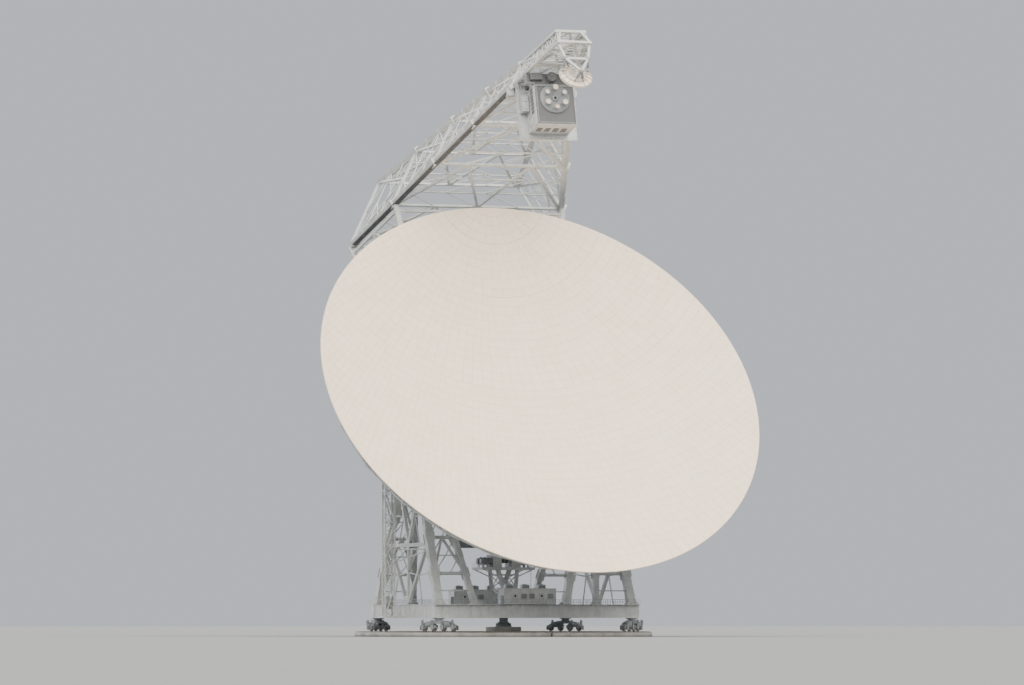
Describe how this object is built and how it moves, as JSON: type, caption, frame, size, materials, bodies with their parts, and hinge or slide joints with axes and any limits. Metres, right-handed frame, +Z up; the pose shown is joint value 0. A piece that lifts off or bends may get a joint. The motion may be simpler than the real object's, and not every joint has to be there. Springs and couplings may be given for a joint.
{
  "type": "1:10 scale model of a steerable radio telescope",
  "caption": "Fully steerable radio telescope as a 1:10 model: an off-axis dish with a tall feed arm, tipping on a steel tower frame that turns on a ring track.",
  "frame": {"origin": "on the ground at the azimuth axis, on the underside of the pintle foundation", "axes": "+Z up along the azimuth axis, -Y the way the dish looks at rest, +X to the right seen from in front of the dish"},
  "size_m": [10, 10.2574, 13.2915],
  "materials": {
    "white_steel": "white paint, satin, a little chalked by weather",
    "grey_steel": "grey machinery paint, satin",
    "rail_steel": "rolled steel track, polished by the wheels and brown at the edges",
    "concrete": "cast concrete, matt and weathered",
    "reflector_panel": "aluminium panels painted warm white, matt",
    "cabin_cladding": "profiled aluminium cladding painted pale grey, satin"
  },
  "bodies": {
    "foundation": {"track_footing_1": "concrete", "track_footing_2": "concrete", "track_footing_3": "concrete", "track_footing_4": "concrete", "azimuth_track": "rail_steel", "pintle_foundation": "concrete", "pintle_bearing": "grey_steel"},
    "azimuth_frame": {"base_beam_front": "white_steel", "base_beam_rear": "white_steel", "base_beam_left": "white_steel", "base_beam_right": "white_steel", "pintle_cross_beams": "white_steel", "truck_front_left": "grey_steel", "truck_front_right": "grey_steel", "truck_rear_right": "grey_steel", "truck_rear_left": "grey_steel", "tower_left_front": "white_steel", "tower_right_front": "white_steel", "tower_left_rear": "white_steel", "tower_right_rear": "white_steel", "side_frame_left": "white_steel", "side_frame_right": "white_steel", "elevation_bearing_left": "white_steel", "elevation_bearing_right": "white_steel", "elevation_drive_pedestal": "white_steel", "elevation_drive_left": "grey_steel", "elevation_drive_right": "grey_steel", "equipment_room_front": "cabin_cladding", "equipment_room_rear": "cabin_cladding", "lift_shaft": "white_steel"},
    "tipping_structure": {"box_structure": "white_steel", "elevation_shaft_left": "grey_steel", "elevation_shaft_right": "grey_steel", "elevation_wheel": "grey_steel", "wheel_spokes_left": "white_steel", "wheel_spokes_right": "white_steel", "counterweight_left": "white_steel", "counterweight_right": "white_steel", "feed_arm_left": "white_steel", "horizontal_arm_left": "white_steel", "feed_arm_right": "white_steel", "horizontal_arm_right": "white_steel", "feed_arm_front_bracing": "white_steel", "feed_arm_back_bracing": "white_steel", "horizontal_arm_top_bracing": "white_steel", "horizontal_arm_bottom_bracing": "white_steel", "upper_feed_arm": "white_steel", "receiver_room": "cabin_cladding", "feed_turret": "grey_steel", "subreflector": "reflector_panel", "subreflector_mount": "white_steel", "reflector_far_left": "reflector_panel", "reflector_far_right": "reflector_panel", "reflector_near_left": "reflector_panel", "reflector_near_right": "reflector_panel", "backing_truss_far_left": "white_steel", "backing_truss_far_right": "white_steel", "backing_truss_near_left": "white_steel", "backing_truss_near_right": "white_steel"}
  },
  "joints": [
    {"name": "azimuth", "type": "hinge", "parent": "foundation", "child": "azimuth_frame", "pos_m": [0, 0, 0], "axis": [0, 0, 1], "range_deg": [-270, 270]},
    {"name": "elevation", "type": "hinge", "parent": "azimuth_frame", "child": "tipping_structure", "pos_m": [0, 0, 4.82], "axis": [-1, 0, 0], "range_deg": [-11, 79]}
  ]
}
